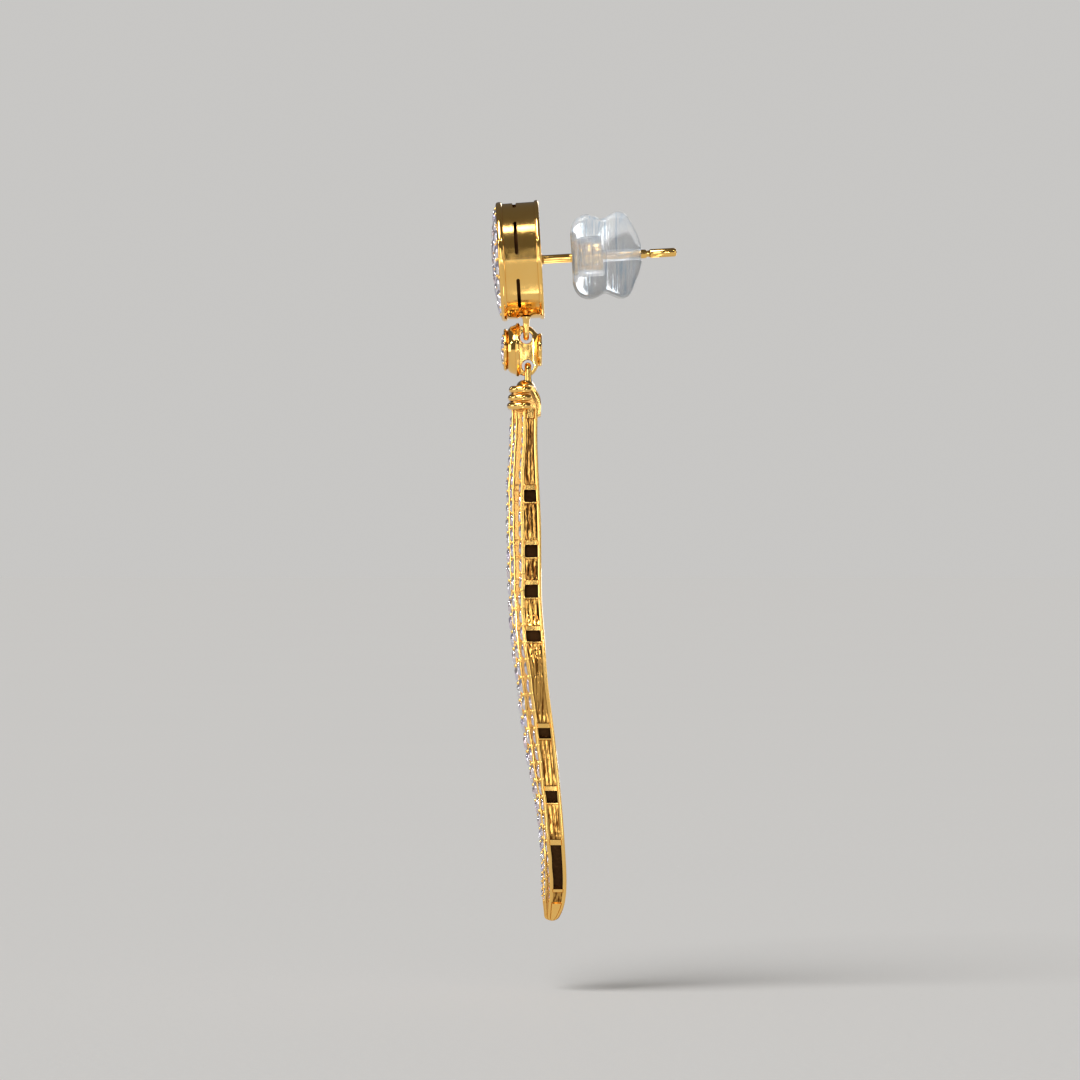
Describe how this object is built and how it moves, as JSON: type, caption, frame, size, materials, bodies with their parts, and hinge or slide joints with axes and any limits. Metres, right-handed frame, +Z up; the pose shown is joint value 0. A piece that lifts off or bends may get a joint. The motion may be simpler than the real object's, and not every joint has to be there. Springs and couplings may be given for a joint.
{
  "type": "dangle earring",
  "caption": "Post earring with a round paved stud, a small paved link, a long paved tassel pendant that swings, and a clear butterfly back that slides off the post.",
  "frame": {"origin": "centre of the stud's back face, on the post's axis, where the stud lies on the ear lobe", "axes": "+Z up as it hangs, -Y to the front where the stones face, +Y back along the post (which points 3.2 degrees up), +X to the side"},
  "size_m": [0.0098, 0.0151, 0.0591],
  "materials": {
    "gold": "gold plated, mirror polished",
    "pave": "clear faceted stones set close in gold beads",
    "clear_cover": "clear moulded plastic, slightly milky"
  },
  "bodies": {
    "head": {"head_body": "gold", "head_pave": "pave"},
    "clutch": {"clutch_barrel": "gold", "clutch_cover": "clear_cover"},
    "link": {"link_body": "gold", "link_pave": "pave"},
    "pendant": {"pendant_frame": "gold", "pendant_pave_1": "pave", "pendant_pave_2": "pave", "pendant_pave_3": "pave", "pendant_pave_4": "pave", "pendant_pave_5": "pave"}
  },
  "joints": [
    {"name": "link_swing", "type": "hinge", "parent": "head", "child": "link", "pos_m": [0, -0.00125, -0.0064], "axis": [1, 0, 0], "range_deg": [-10, 10]},
    {"name": "pendant_swing", "type": "hinge", "parent": "link", "child": "pendant", "pos_m": [0, -0.00111, -0.00873], "axis": [1, 0, 0], "range_deg": [-15, 30]},
    {"name": "clutch_slide", "type": "slide", "parent": "head", "child": "clutch", "axis": [0, 0.9984, 0.0558], "range_m": [-0.0023, 0.0095]}
  ]
}
